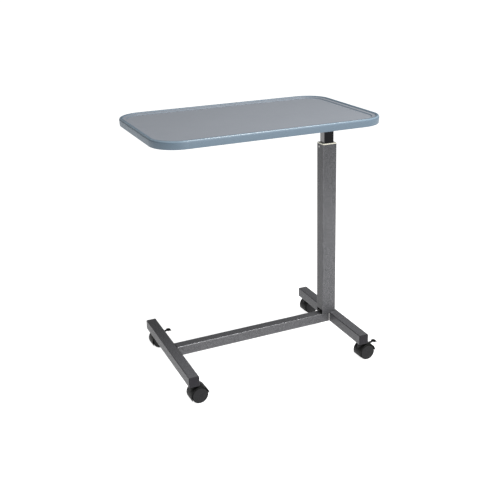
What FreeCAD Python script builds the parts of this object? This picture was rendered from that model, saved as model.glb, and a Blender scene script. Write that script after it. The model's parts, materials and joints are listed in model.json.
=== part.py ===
"""Overbed table: a moulded tray on a sliding mast, over an H-shaped base on four twin-wheel casters.

Frame: origin on the floor under the centre of the tray, +X towards the column, +Z up, millimetres.
Each function makes the pieces of one group, and every piece is written to parts/NODE.step.
"""
import FreeCAD, Part
import math
import os

V = FreeCAD.Vector
X_AXIS = V(1, 0, 0)
Y_AXIS = V(0, 1, 0)
Z_AXIS = V(0, 0, 1)

# ---- tray
TRAY_LENGTH = 762.0
TRAY_DEPTH = 484.0
TRAY_TOP = 857.0
TRAY_SKIRT = 25.0
TRAY_CORNER = 88.0
SKIRT_WALL = 5.0
RIM_WIDTH = 11.0
STEP_WIDTH = 13.0
STEP_DROP = 3.5
PANEL_DROP = 6.5
PANEL_THICK = 5.5
PANEL_UNDER = TRAY_TOP - PANEL_DROP - PANEL_THICK
RIB_DEPTH = 9.0
RIB_THICK = 3.0
RIB_X = (-300.0, -180.0, -60.0, 60.0, 180.0, 300.0)
SCREW_X = (-235.0, -60.0, 120.0, 325.0)

# ---- base of square tube
TUBE = 35.0
TUBE_WALL = 2.0
TUBE_RADIUS = 3.0
TUBE_UNDER = 65.0
TUBE_TOP = TUBE_UNDER + TUBE
BASE_HALF = 328.0
FOOT_LENGTH = 464.0
FOOT_X = BASE_HALF - TUBE / 2
CAP_THICK = 3.0
CAP_PLUG = 9.0

# ---- column and mast
COLUMN_WIDTH = 53.0
COLUMN_DEPTH = 45.0
COLUMN_WALL = 2.0
COLUMN_X = 288.5
COLUMN_TOP = 733.0
MAST_WIDTH = 37.0
MAST_DEPTH = 32.0
MAST_WALL = 2.0
MAST_BOTTOM = 195.0
HEAD_UNDER = 821.0
HEAD_THICK = 4.0
SLIDE_GAP = 0.3
GLIDE_UNDER = 8.0
GLIDE_UP = 30.0
UPRIGHT_RADIUS = 3.0
NOTCH_HEIGHT = 15.0
NOTCH_WIDTH = 36.0

# ---- rails under the tray
RAIL_Y = 50.0
RAIL_WIDTH = 25.0
RAIL_WALL = 2.0
RAIL_LEFT = -260.0
RAIL_RIGHT = 345.0
RAIL_UNDER = HEAD_UNDER + HEAD_THICK

# ---- head plate and tie
HEAD_LEFT = 236.0
HEAD_RIGHT = 318.0
HEAD_HALF_DEPTH = 64.0
HEAD_BOLT_X = (250.0, 304.0)
TIE_X = -225.0
TIE_WIDTH = 30.0
TIE_THICK = 3.0

# ---- foot plate, guide bush and its screw
FOOT_PLATE = 5.0
BUSH_FLANGE = 3.5
BUSH_DEPTH = 45.0
SCREW_Y = 7.0
SCREW_Z = COLUMN_TOP - 10.5
SCREW_RADIUS = 3.2
SCREW_SHANK = 1.8
COLUMN_BOLT_X = (275.0, 306.0)

# ---- gas spring and release lever
ROD_RADIUS = 5.0
ROD_TOP = 830.0
ROD_BOTTOM = 217.0
PIN_RADIUS = 2.0
PIN_LENGTH = 60.0
PIN_STAND = 4.5
CYLINDER_RADIUS = 12.0
CYLINDER_BORE = 10.0
CYLINDER_TOP = 539.0
GLAND_HEIGHT = 14.0
LEVER_HALF = 7.0
LEVER_THICK = 3.0
LEVER_UNDER = ROD_TOP + PIN_STAND + 0.5
PIVOT_X = 306.0
PIVOT_RADIUS = 2.5
LEVER_DROP = 10.5
BEND_START = 320.0
BEND_END = 333.0
BEND_SHIFT = 1.2
LEVER_END = 368.0
GRIP_START = 340.0
GRIP_END = 372.0
GRIP_HALF = 13.0
GRIP_WALL = 3.0
EAR_THICK = 3.0
EAR_HALF = 7.0
NUT_CORNER = 9.2
WELD_LEG = 4.0

# ---- casters
STEM_Y = 208.0
STEM_RADIUS = 5.0
WHEEL_RADIUS = 28.0
WHEEL_WIDTH = 16.5
CASTER_HALF = 22.5
TRAIL = 18.0
CASTER_TURN = 2.0
HOOD_GAP = 1.0
HOOD_THICK = 2.2
HOOD_WEB = 4.6
HOOD_FRONT_END = 12.0
HOOD_REAR_END = 204.0
WEB_UNDER = 15.0
BOSS_RADIUS = 9.5
BOSS_UNDER = 34.0
AXLE_RADIUS = 3.0
STEM_BOTTOM = 38.0
STEM_LENGTH = 49.0
SOCKET_FLANGE = 2.5
SOCKET_RADIUS = 8.0
SOCKET_HEIGHT = 26.0
RUN_GAP = 0.05
PEDAL_PIVOT_X = 31.0
PEDAL_PIVOT_Z = 50.0
PEDAL_PIN_RADIUS = 1.5
PEDAL_ARM_HALF = 3.2
PEDAL_PLATE_HALF = 9.5
PEDAL_SLOT_GAP = 0.5
PEDAL_PLATE_START = 50.0
PEDAL_PLATE_END = 65.0
PEDAL_SWING = 5.6
SOCKET_UNDER = TUBE_UNDER - SOCKET_FLANGE
BRAKED = ("front_right", "rear_left")


def box(x0, x1, y0, y1, z0, z1):
    """Block between two opposite corners."""
    return Part.makeBox(x1 - x0, y1 - y0, z1 - z0, V(x0, y0, z0))


def rod(radius, length, base, direction=Z_AXIS):
    """Round bar from a base point along a direction."""
    return Part.makeCylinder(radius, length, V(*base), direction)


def rounded_outline(length, depth, radius, z):
    """Closed wire of a rectangle with round corners, centred on the Z axis."""
    x = length / 2
    y = depth / 2
    slant = radius * (1 - math.sqrt(0.5))
    corners = [(1, 1), (-1, 1), (-1, -1), (1, -1)]
    edges = []
    for index, (sx, sy) in enumerate(corners):
        on_side = V(sx * x, sy * (y - radius), z)
        on_end = V(sx * (x - radius), sy * y, z)
        start, end = (on_side, on_end) if sx * sy > 0 else (on_end, on_side)
        middle = V(sx * (x - slant), sy * (y - slant), z)
        edges.append(Part.Arc(start, middle, end).toShape())
        nx, ny = corners[(index + 1) % 4]
        next_side = V(nx * x, ny * (y - radius), z)
        next_end = V(nx * (x - radius), ny * y, z)
        next_start = next_side if nx * ny > 0 else next_end
        edges.append(Part.LineSegment(end, next_start).toShape())
    return Part.Wire(edges)


def rounded_block(length, depth, radius, z0, z1, centre=(0.0, 0.0)):
    """Upright block with round vertical corners."""
    face = Part.Face(rounded_outline(length, depth, radius, z0))
    solid = face.extrude(V(0, 0, z1 - z0))
    solid.translate(V(centre[0], centre[1], 0))
    return solid


def edges_at(solid, z, tolerance=0.01):
    """Edges that lie wholly at one height."""
    found = []
    for edge in solid.Edges:
        bounds = edge.BoundBox
        if abs(bounds.ZMin - z) < tolerance and abs(bounds.ZMax - z) < tolerance:
            found.append(edge)
    return found


def tube_between(start, end, width, depth, wall, radius):
    """Hollow rectangular tube from start to end; width is across, depth is up (or along Y if upright)."""
    length = (V(*end) - V(*start)).Length
    outer = rounded_block(width, depth, radius, 0, length)
    inner = rounded_block(width - 2 * wall, depth - 2 * wall, max(radius - wall, 0.5), 0, length)
    solid = outer.cut(inner)
    direction = V(*end) - V(*start)
    solid.Placement = FreeCAD.Placement(V(*start), FreeCAD.Rotation(Z_AXIS, direction))
    return solid


def compound(shapes):
    """Several separate solids kept as one node."""
    return Part.makeCompound(shapes)


def bolt(radius, head_radius, head_height, length, seat):
    """Bolt whose head hangs under the seat point, with its shank running up."""
    x, y, z = seat
    shank = rod(radius, length, seat)
    head = rod(head_radius, head_height, (x, y, z - head_height))
    head = head.makeChamfer(0.6, edges_at(head, z - head_height))
    return shank.fuse(head).removeSplitter()


# ---------------------------------------------------------------- tray and its support

def tray_screws():
    """Screws up through each rail's web into the panel."""
    screws = []
    for x in SCREW_X:
        for side in (-1, 1):
            seat = (x, side * RAIL_Y, PANEL_UNDER - RAIL_WALL)
            screws.append(bolt(2.0, 4.0, 2.4, RAIL_WALL + 4.0, seat))
    return screws


def tray_ribs():
    """Cross ribs under the panel, from beside the rails to just inside the skirt."""
    inner = RAIL_Y + RAIL_WIDTH / 2 + 6.0
    outer = TRAY_DEPTH / 2 - SKIRT_WALL + 1.5
    half = RIB_THICK / 2
    ribs = []
    for x in RIB_X:
        for side in (-1, 1):
            y0, y1 = sorted((side * inner, side * outer))
            ribs.append(box(x - half, x + half, y0, y1, PANEL_UNDER - RIB_DEPTH, PANEL_UNDER + 0.5))
    return ribs


def tray_top(screws):
    """Dished panel with a two-step gallery inside a rounded rim, over a hollow skirt with ribs."""
    under = TRAY_TOP - TRAY_SKIRT
    body = rounded_block(TRAY_LENGTH, TRAY_DEPTH, TRAY_CORNER, under, TRAY_TOP)
    body = body.makeFillet(4.0, edges_at(body, TRAY_TOP))
    body = body.makeFillet(2.0, edges_at(body, under))
    levels = (
        (RIM_WIDTH, STEP_DROP),
        (RIM_WIDTH + STEP_WIDTH, PANEL_DROP),
    )
    for inset, drop in levels:
        pocket = rounded_block(
            TRAY_LENGTH - 2 * inset,
            TRAY_DEPTH - 2 * inset,
            TRAY_CORNER - inset,
            TRAY_TOP - drop,
            TRAY_TOP + 1,
        )
        pocket = pocket.makeFillet(1.5, edges_at(pocket, TRAY_TOP - drop))
        body = body.cut(pocket)
    hollow = rounded_block(
        TRAY_LENGTH - 2 * SKIRT_WALL,
        TRAY_DEPTH - 2 * SKIRT_WALL,
        TRAY_CORNER - SKIRT_WALL,
        under - 1,
        PANEL_UNDER,
    )
    body = body.cut(hollow)
    for rib in tray_ribs():
        body = body.fuse(rib)
    for screw in screws:
        body = body.cut(screw)
    return body.removeSplitter()


def support_rail(side, screws, head_bolts):
    """Open channel with its web against the tray and its flanges down."""
    y = side * RAIL_Y
    half = RAIL_WIDTH / 2
    solid = box(RAIL_LEFT, RAIL_RIGHT, y - half, y + half, RAIL_UNDER, PANEL_UNDER)
    groove = box(
        RAIL_LEFT - 1,
        RAIL_RIGHT + 1,
        y - half + RAIL_WALL,
        y + half - RAIL_WALL,
        RAIL_UNDER - 1,
        PANEL_UNDER - RAIL_WALL,
    )
    solid = solid.cut(groove)
    foot_block = box(HEAD_LEFT, HEAD_RIGHT, y - half + 1, y + half - 1, RAIL_UNDER, RAIL_UNDER + 3.0)
    solid = solid.fuse(foot_block)
    for fastener in screws + head_bolts:
        solid = solid.cut(fastener)
    return solid.removeSplitter()


def head_bolts():
    """Four bolts up through the head plate into the thick feet of the rails."""
    found = []
    for x in HEAD_BOLT_X:
        for side in (-1, 1):
            found.append(bolt(3.0, 5.0, 3.5, HEAD_THICK + 8.0, (x, side * RAIL_Y, HEAD_UNDER)))
    return found


def mast_group(bolts):
    """Mast tube, its head plate, the glide block at its lower end, and the tie across the rails."""
    start = (COLUMN_X, 0, MAST_BOTTOM)
    end = (COLUMN_X, 0, HEAD_UNDER)
    axis = (COLUMN_X, 0)
    mast = tube_between(start, end, MAST_WIDTH, MAST_DEPTH, MAST_WALL, UPRIGHT_RADIUS)
    depth = HEAD_HALF_DEPTH
    plate = box(HEAD_LEFT, HEAD_RIGHT, -depth, depth, HEAD_UNDER, HEAD_UNDER + HEAD_THICK)
    upright = [edge for edge in plate.Edges if edge.BoundBox.ZLength > HEAD_THICK - 0.1]
    plate = plate.makeFillet(8.0, upright)
    plate = plate.cut(rod(ROD_RADIUS, 20, (COLUMN_X, 0, HEAD_UNDER - 5)))
    for fastener in bolts:
        plate = plate.cut(fastener)
    inner_width = COLUMN_WIDTH - 2 * COLUMN_WALL - 2 * SLIDE_GAP
    inner_depth = COLUMN_DEPTH - 2 * COLUMN_WALL - 2 * SLIDE_GAP
    low = MAST_BOTTOM - GLIDE_UNDER
    high = MAST_BOTTOM + GLIDE_UP
    glide = rounded_block(inner_width, inner_depth, 1.5, low, high, axis)
    seat = rounded_block(MAST_WIDTH, MAST_DEPTH, UPRIGHT_RADIUS, MAST_BOTTOM, high + 1, axis)
    glide = glide.cut(seat)
    glide = glide.cut(rod(CYLINDER_RADIUS + 2, 20, (COLUMN_X, 0, low - 2)))
    half = TIE_WIDTH / 2
    reach = RAIL_Y + RAIL_WIDTH / 2
    tie = box(TIE_X - half, TIE_X + half, -reach, reach, RAIL_UNDER - TIE_THICK, RAIL_UNDER)
    return mast, plate, glide, tie


# ---------------------------------------------------------------- column

def column_bolts():
    """Two bolts from under the base into the plate inside the column's foot."""
    length = TUBE_TOP - TUBE_UNDER + FOOT_PLATE
    return [bolt(4.0, 6.5, 5.0, length, (x, 0, TUBE_UNDER)) for x in COLUMN_BOLT_X]


def bush_screw(face):
    """Slotted screw set into the column's left face, at x = face, to hold the bush."""
    shank = rod(SCREW_SHANK, COLUMN_WALL + 3.0, (face + 0.8, SCREW_Y, SCREW_Z), X_AXIS)
    head = rod(SCREW_RADIUS, 1.2, (face + 0.2, SCREW_Y, SCREW_Z), X_AXIS)
    slot = box(face - 1, face + 0.8, SCREW_Y - 0.4, SCREW_Y + 0.4, SCREW_Z - 2.4, SCREW_Z + 2.4)
    return shank.fuse(head).removeSplitter().cut(slot)


def column_group(bolts):
    """Outer tube with a notch at its foot, the plate inside it, and the guide bush at its top."""
    start = (COLUMN_X, 0, TUBE_TOP)
    end = (COLUMN_X, 0, COLUMN_TOP)
    tube = tube_between(start, end, COLUMN_WIDTH, COLUMN_DEPTH, COLUMN_WALL, UPRIGHT_RADIUS)
    left = COLUMN_X - COLUMN_WIDTH / 2
    half = NOTCH_WIDTH / 2
    through = left + COLUMN_WALL + 1
    notch = box(left - 1, through, -half, half, TUBE_TOP - 1, TUBE_TOP + NOTCH_HEIGHT)
    tube = tube.cut(notch)
    screw = bush_screw(left)
    counterbore = rod(SCREW_RADIUS + 0.4, 1.4, (left, SCREW_Y, SCREW_Z), X_AXIS)
    clearance = rod(SCREW_SHANK, COLUMN_WALL + 1, (left, SCREW_Y, SCREW_Z), X_AXIS)
    tube = tube.cut(counterbore).cut(clearance)
    plate = box(
        left + COLUMN_WALL + 0.5,
        left + COLUMN_WIDTH - COLUMN_WALL - 0.5,
        -COLUMN_DEPTH / 2 + COLUMN_WALL + 0.5,
        COLUMN_DEPTH / 2 - COLUMN_WALL - 0.5,
        TUBE_TOP,
        TUBE_TOP + FOOT_PLATE,
    )
    for fastener in bolts:
        plate = plate.cut(fastener)
    return tube, screw, plate, column_bush().cut(screw)


def column_bush():
    """Guide bush: a flange on the column's mouth and a sleeve inside it, bored for the mast."""
    flange = rounded_block(
        COLUMN_WIDTH - 0.6,
        COLUMN_DEPTH - 0.6,
        UPRIGHT_RADIUS,
        COLUMN_TOP,
        COLUMN_TOP + BUSH_FLANGE,
        (COLUMN_X, 0),
    )
    flange = flange.makeFillet(1.2, edges_at(flange, COLUMN_TOP + BUSH_FLANGE))
    sleeve = rounded_block(
        COLUMN_WIDTH - 2 * COLUMN_WALL,
        COLUMN_DEPTH - 2 * COLUMN_WALL,
        1.0,
        COLUMN_TOP - BUSH_DEPTH,
        COLUMN_TOP,
        (COLUMN_X, 0),
    )
    passage = rounded_block(
        MAST_WIDTH + 2 * SLIDE_GAP,
        MAST_DEPTH + 2 * SLIDE_GAP,
        UPRIGHT_RADIUS + SLIDE_GAP,
        COLUMN_TOP - BUSH_DEPTH - 1,
        COLUMN_TOP + BUSH_FLANGE + 1,
        (COLUMN_X, 0),
    )
    return flange.fuse(sleeve).removeSplitter().cut(passage)


# ---------------------------------------------------------------- gas spring and its release

def gas_spring():
    """Cylinder on the foot plate, gland at its mouth, rod with piston hung from the head plate."""
    def on_axis(radius, length, z):
        return rod(radius, length, (COLUMN_X, 0, z))

    bottom = TUBE_TOP + FOOT_PLATE
    cylinder = on_axis(CYLINDER_RADIUS, CYLINDER_TOP - bottom, bottom)
    cylinder = cylinder.cut(on_axis(CYLINDER_BORE, CYLINDER_TOP, bottom + 6))
    gland_under = CYLINDER_TOP - GLAND_HEIGHT
    gland = on_axis(CYLINDER_BORE, GLAND_HEIGHT, gland_under)
    gland = gland.cut(on_axis(ROD_RADIUS + RUN_GAP, GLAND_HEIGHT + 2, gland_under - 1))
    piston_rod = on_axis(ROD_RADIUS, ROD_TOP - ROD_BOTTOM, ROD_BOTTOM)
    piston = on_axis(CYLINDER_BORE - RUN_GAP, 8, ROD_BOTTOM)
    pin_under = ROD_TOP + PIN_STAND - PIN_LENGTH
    pin_hole = on_axis(PIN_RADIUS + RUN_GAP, PIN_LENGTH + 10, pin_under - 4)
    piston_rod = piston_rod.fuse(piston).removeSplitter().cut(pin_hole)
    pin = on_axis(PIN_RADIUS, PIN_LENGTH, pin_under)
    return cylinder, gland, piston_rod, pin, rod_nut()


def rod_nut():
    """Hexagon nut that holds the rod's end on the head plate."""
    under = HEAD_UNDER + HEAD_THICK
    points = []
    for k in range(7):
        angle = math.radians(60 * k)
        x = COLUMN_X + NUT_CORNER * math.cos(angle)
        points.append(V(x, NUT_CORNER * math.sin(angle), under))
    nut = Part.Face(Part.makePolygon(points)).extrude(V(0, 0, ROD_TOP - under - 0.5))
    return nut.cut(rod(ROD_RADIUS, 20, (COLUMN_X, 0, under - 1)))


def release_lever():
    """Bent flat lever over the release pin, its grip, pivot pin and the two-eared bracket."""
    grip_z = LEVER_UNDER - LEVER_DROP
    tip = COLUMN_X - 2.5
    outline = [
        (tip, LEVER_UNDER),
        (BEND_START, LEVER_UNDER),
        (BEND_END, grip_z),
        (LEVER_END, grip_z),
        (LEVER_END, grip_z + LEVER_THICK),
        (BEND_END + BEND_SHIFT, grip_z + LEVER_THICK),
        (BEND_START + BEND_SHIFT, LEVER_UNDER + LEVER_THICK),
        (tip, LEVER_UNDER + LEVER_THICK),
        (tip, LEVER_UNDER),
    ]
    wire = Part.makePolygon([V(x, -LEVER_HALF, z) for x, z in outline])
    lever = Part.Face(wire).extrude(V(0, 2 * LEVER_HALF, 0))
    pivot_z = LEVER_UNDER + LEVER_THICK / 2
    knuckle = rod(4.0, 2 * LEVER_HALF, (PIVOT_X, -LEVER_HALF, pivot_z), Y_AXIS)
    lever = lever.fuse(knuckle).removeSplitter()
    lever = lever.cut(rod(PIVOT_RADIUS + RUN_GAP, 40, (PIVOT_X, -20, pivot_z), Y_AXIS))
    low = grip_z - GRIP_WALL
    high = grip_z + LEVER_THICK + GRIP_WALL
    grip = box(GRIP_START, GRIP_END, -GRIP_HALF, GRIP_HALF, low, high)
    grip = grip.makeFillet(2.8, grip.Edges)
    pocket = box(GRIP_START - 10, LEVER_END, -LEVER_HALF, LEVER_HALF, grip_z, grip_z + LEVER_THICK)
    grip = grip.cut(pocket)
    bracket, pin = lever_bracket(pivot_z)
    return lever, grip, bracket, pin


def lever_bracket(pivot_z):
    """Two ears joined by a low web on the head plate, and the pin across them."""
    plate_top = HEAD_UNDER + HEAD_THICK
    gap = LEVER_HALF + 0.5
    far = PIVOT_X + EAR_HALF
    bracket = box(far - EAR_THICK, far, -gap, gap, plate_top, plate_top + 2.5)
    for side in (-1, 1):
        y0, y1 = sorted((side * gap, side * (gap + EAR_THICK)))
        bracket = bracket.fuse(box(PIVOT_X - EAR_HALF, far, y0, y1, plate_top, pivot_z + 4.5))
    pin = rod(PIVOT_RADIUS, 2 * gap + 8, (PIVOT_X, -gap - 4, pivot_z), Y_AXIS)
    return bracket.removeSplitter().cut(pin), pin


# ---------------------------------------------------------------- base

def base_tubes(bolts, sockets):
    """Two feet along Y and the crossbar between their inner faces."""
    mid = (TUBE_UNDER + TUBE_TOP) / 2
    feet = []
    for side in (-1, 1):
        x = side * FOOT_X
        end = FOOT_LENGTH / 2 - CAP_THICK
        foot = tube_between((x, -end, mid), (x, end, mid), TUBE, TUBE, TUBE_WALL, TUBE_RADIUS)
        for fastener in bolts + sockets:
            foot = foot.cut(fastener)
        feet.append(foot)
    inner = BASE_HALF - TUBE
    crossbar = tube_between((-inner, 0, mid), (inner, 0, mid), TUBE, TUBE, TUBE_WALL, TUBE_RADIUS)
    for fastener in bolts:
        crossbar = crossbar.cut(fastener)
    return feet[0], feet[1], crossbar


def end_cap(x, side):
    """Plastic plug with a domed outer plate and a hollow shank inside the tube."""
    mid = (TUBE_UNDER + TUBE_TOP) / 2
    tip = side * FOOT_LENGTH / 2
    joint = side * (FOOT_LENGTH / 2 - CAP_THICK)
    y0, y1 = sorted((tip, joint))
    plate = box(x - TUBE / 2, x + TUBE / 2, y0, y1, TUBE_UNDER, TUBE_TOP)
    along = [edge for edge in plate.Edges if edge.BoundBox.YLength > CAP_THICK - 0.1]
    plate = plate.makeFillet(3.0, along)
    spans = [(edge, edge.BoundBox) for edge in plate.Edges]
    outer = [edge for edge, span in spans if abs(span.YMin - tip) + abs(span.YMax - tip) < 0.01]
    plate = plate.makeFillet(2.0, outer)
    half = TUBE / 2 - TUBE_WALL
    end = joint - side * CAP_PLUG
    y0, y1 = sorted((joint, end))
    shank = box(x - half, x + half, y0, y1, mid - half, mid + half)
    y0, y1 = sorted((joint, end - side))
    hollow = half - CAP_THICK
    shank = shank.cut(box(x - hollow, x + hollow, y0, y1, mid - hollow, mid + hollow))
    shank = shank.makeFillet(1.2, [e for e in shank.Edges if e.BoundBox.YLength > CAP_PLUG - 0.1])
    return plate.fuse(shank).removeSplitter()


def weld_beads():
    """Fillet welds where the crossbar meets the feet and where the column meets the base."""
    inner = BASE_HALF - TUBE
    half = TUBE / 2
    beads = []
    for side in (-1, 1):
        for face in (-1, 1):
            corner = V(side * inner, face * half, TUBE_UNDER + TUBE_WALL)
            length = TUBE - 2 * TUBE_WALL
            beads.append(bead(corner, V(-side, 0, 0), V(0, face, 0), Z_AXIS * length))
    column_right = COLUMN_X + COLUMN_WIDTH / 2
    inset = COLUMN_DEPTH / 2 - 6.5
    beads.append(bead(V(column_right, -inset, TUBE_TOP), X_AXIS, Z_AXIS, Y_AXIS * 2 * inset))
    for face in (-1, 1):
        corner = V(inner + 2, face * COLUMN_DEPTH / 2, TUBE_TOP)
        length = column_right - inner - 5
        beads.append(bead(corner, V(0, face, 0), Z_AXIS, X_AXIS * length))
    return beads


def bead(corner, first_way, second_way, run):
    """One fillet weld: a right triangle in an inside corner, carried along its run."""
    points = [corner, corner + first_way * WELD_LEG, corner + second_way * WELD_LEG, corner]
    return Part.Face(Part.makePolygon(points)).extrude(run)


# ---------------------------------------------------------------- casters

def socket_sleeve(x, y):
    """The part of a stem socket that goes up into the foot."""
    return rod(SOCKET_RADIUS, SOCKET_HEIGHT, (x, y, TUBE_UNDER - 1))


def stem_socket(x, y):
    """Flanged sleeve pushed up through the foot's lower wall."""
    flange = rod(SOCKET_RADIUS + 3, SOCKET_FLANGE, (x, y, TUBE_UNDER - SOCKET_FLANGE))
    return flange.fuse(socket_sleeve(x, y)).removeSplitter()


def arc_point(radius, degrees):
    """Point on a circle about the wheel's centre, in the caster's own XZ plane."""
    angle = math.radians(degrees)
    return V(TRAIL + radius * math.cos(angle), 0, WHEEL_RADIUS + radius * math.sin(angle))


def fender_section():
    """Band over the wheels from ahead of the axle, over the top, to low on the stem's side."""
    inner = WHEEL_RADIUS + HOOD_GAP
    outer = inner + HOOD_THICK
    middle = (HOOD_FRONT_END + HOOD_REAR_END) / 2
    outside = [arc_point(outer, angle) for angle in (HOOD_FRONT_END, middle, HOOD_REAR_END)]
    inside = [arc_point(inner, angle) for angle in (HOOD_REAR_END, middle, HOOD_FRONT_END)]
    edges = [
        Part.Arc(*outside).toShape(),
        Part.LineSegment(outside[-1], inside[0]).toShape(),
        Part.Arc(*inside).toShape(),
        Part.LineSegment(inside[-1], outside[0]).toShape(),
    ]
    return Part.Face(Part.Wire(edges))


def extrude_about_middle(face, half):
    """Solid of a face in the XZ plane, from -half to +half along Y."""
    moved = face.copy()
    moved.translate(V(0, -half, 0))
    return moved.extrude(V(0, 2 * half, 0))


def hood(braked):
    """Central web with the stem boss, and one fender band over both wheels, with the stem at the origin."""
    fender = extrude_about_middle(fender_section(), CASTER_HALF)
    space = WHEEL_RADIUS + HOOD_GAP
    web = rod(space + 0.5, 2 * HOOD_WEB, (TRAIL, -HOOD_WEB, WHEEL_RADIUS), Y_AXIS)
    web = web.cut(box(-60, 90, -20, 20, -10, WEB_UNDER))
    top = SOCKET_UNDER - 0.5
    boss = rod(BOSS_RADIUS, top - BOSS_UNDER, (0, 0, BOSS_UNDER))
    for start in (HOOD_WEB, -HOOD_WEB - 40):
        boss = boss.cut(rod(space, 40, (TRAIL, start, WHEEL_RADIUS), Y_AXIS))
    solid = fender.fuse(web).fuse(boss).removeSplitter()
    solid = solid.cut(rod(STEM_RADIUS + RUN_GAP, 40, (0, 0, STEM_BOTTOM - 1)))
    solid = solid.cut(rod(AXLE_RADIUS, 80, (TRAIL, -40, WHEEL_RADIUS), Y_AXIS))
    if braked:
        half = PEDAL_ARM_HALF + PEDAL_SLOT_GAP
        pocket = rod(PEDAL_SWING, 2 * half, (PEDAL_PIVOT_X, -half, PEDAL_PIVOT_Z), Y_AXIS)
        slot = box(PEDAL_PIVOT_X, 60, -half, half, PEDAL_PIVOT_Z - PEDAL_SWING, 70)
        solid = solid.cut(pocket).cut(slot).cut(pedal_pin())
    return solid


def wheel(side):
    """Solid nylon wheel with a rounded tread and a shallow dished outer face."""
    inner = HOOD_WEB + 0.6
    outer = inner + WHEEL_WIDTH
    profile = rod(WHEEL_RADIUS, WHEEL_WIDTH, (TRAIL, inner, WHEEL_RADIUS), Y_AXIS)
    rims = [edge for edge in profile.Edges if edge.BoundBox.YLength < 0.01]
    profile = profile.makeFillet(2.0, rims)
    dish = rod(WHEEL_RADIUS - 4.0, 1.0, (TRAIL, outer - 0.8, WHEEL_RADIUS), Y_AXIS)
    solid = profile.cut(dish)
    bore = rod(AXLE_RADIUS + RUN_GAP, WHEEL_WIDTH - 2.0, (TRAIL, inner - 1, WHEEL_RADIUS), Y_AXIS)
    solid = solid.cut(bore)
    if side < 0:
        solid = solid.mirror(V(0, 0, 0), Y_AXIS)
    return solid


def axle():
    """Pin through the web that carries both wheels."""
    half = HOOD_WEB + 0.6 + WHEEL_WIDTH - 3.6
    return rod(AXLE_RADIUS, 2 * half, (TRAIL, -half, WHEEL_RADIUS), Y_AXIS)


def stem():
    """Upright pin the caster swivels on."""
    return rod(STEM_RADIUS, STEM_LENGTH, (0, 0, STEM_BOTTOM))


def pedal_pin():
    """Pin through the hood's web that the pedal rocks on."""
    return rod(PEDAL_PIN_RADIUS, 2 * HOOD_WEB, (PEDAL_PIVOT_X, -HOOD_WEB, PEDAL_PIVOT_Z), Y_AXIS)


def brake_pedal():
    """Narrow rocker between the wheels, with a wide tread plate that stands out past the hood."""
    knuckle = rod(4.4, 2 * PEDAL_ARM_HALF, (PEDAL_PIVOT_X, -PEDAL_ARM_HALF, PEDAL_PIVOT_Z), Y_AXIS)
    arm_outline = [
        (PEDAL_PIVOT_X, PEDAL_PIVOT_Z - 3.5),
        (PEDAL_PLATE_START + 3, PEDAL_PIVOT_Z + 1.5),
        (PEDAL_PLATE_START + 3, PEDAL_PIVOT_Z + 6.0),
        (PEDAL_PIVOT_X, PEDAL_PIVOT_Z + 4.4),
        (PEDAL_PIVOT_X, PEDAL_PIVOT_Z - 3.5),
    ]
    wire = Part.makePolygon([V(x, -PEDAL_ARM_HALF, z) for x, z in arm_outline])
    arm = Part.Face(wire).extrude(V(0, 2 * PEDAL_ARM_HALF, 0))
    plate_outline = [
        (PEDAL_PLATE_START, PEDAL_PIVOT_Z + 2.5),
        (PEDAL_PLATE_END, PEDAL_PIVOT_Z + 2.0),
        (PEDAL_PLATE_END, PEDAL_PIVOT_Z + 4.6),
        (PEDAL_PLATE_END - 6, PEDAL_PIVOT_Z + 6.6),
        (PEDAL_PLATE_START, PEDAL_PIVOT_Z + 6.0),
        (PEDAL_PLATE_START, PEDAL_PIVOT_Z + 2.5),
    ]
    wire = Part.makePolygon([V(x, -PEDAL_PLATE_HALF, z) for x, z in plate_outline])
    plate = Part.Face(wire).extrude(V(0, 2 * PEDAL_PLATE_HALF, 0))
    spans = [(edge, edge.BoundBox) for edge in plate.Edges]
    outer = [edge for edge, span in spans if span.XMin > PEDAL_PLATE_END - 0.1 and span.ZLength > 1]
    plate = plate.makeFillet(3.0, outer)
    pedal = knuckle.fuse(arm).fuse(plate).removeSplitter()
    clearance = rod(PEDAL_PIN_RADIUS + RUN_GAP, 40, (PEDAL_PIVOT_X, -20, PEDAL_PIVOT_Z), Y_AXIS)
    return pedal.cut(clearance)


def placed(solid, x, y):
    """A caster piece turned to its resting swivel angle and moved under its stem."""
    moved = solid.copy()
    moved.rotate(V(0, 0, 0), Z_AXIS, CASTER_TURN)
    moved.translate(V(x, y, 0))
    return moved


def casters():
    """All pieces of the four casters, by node name."""
    pieces = {}
    for end, y_sign in (("front", -1), ("rear", 1)):
        for hand, x_sign in (("left", -1), ("right", 1)):
            name = f"{end}_{hand}"
            x = x_sign * FOOT_X
            y = y_sign * STEM_Y
            braked = name in BRAKED
            pieces[f"{name}_hood"] = placed(hood(braked), x, y)
            pieces[f"{name}_wheel_a"] = placed(wheel(-1), x, y)
            pieces[f"{name}_wheel_b"] = placed(wheel(1), x, y)
            pieces[f"{name}_axle"] = placed(axle(), x, y)
            pieces[f"{name}_stem"] = placed(stem(), x, y)
            pieces[f"{name}_socket"] = stem_socket(x, y).cut(pieces[f"{name}_stem"])
            pieces[f"{name}_end_cap"] = end_cap(x, y_sign)
            if braked:
                pieces[f"{name}_brake_pedal"] = placed(brake_pedal(), x, y)
                pieces[f"{name}_pedal_pin"] = placed(pedal_pin(), x, y)
    return pieces


# ---------------------------------------------------------------- assembly

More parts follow.
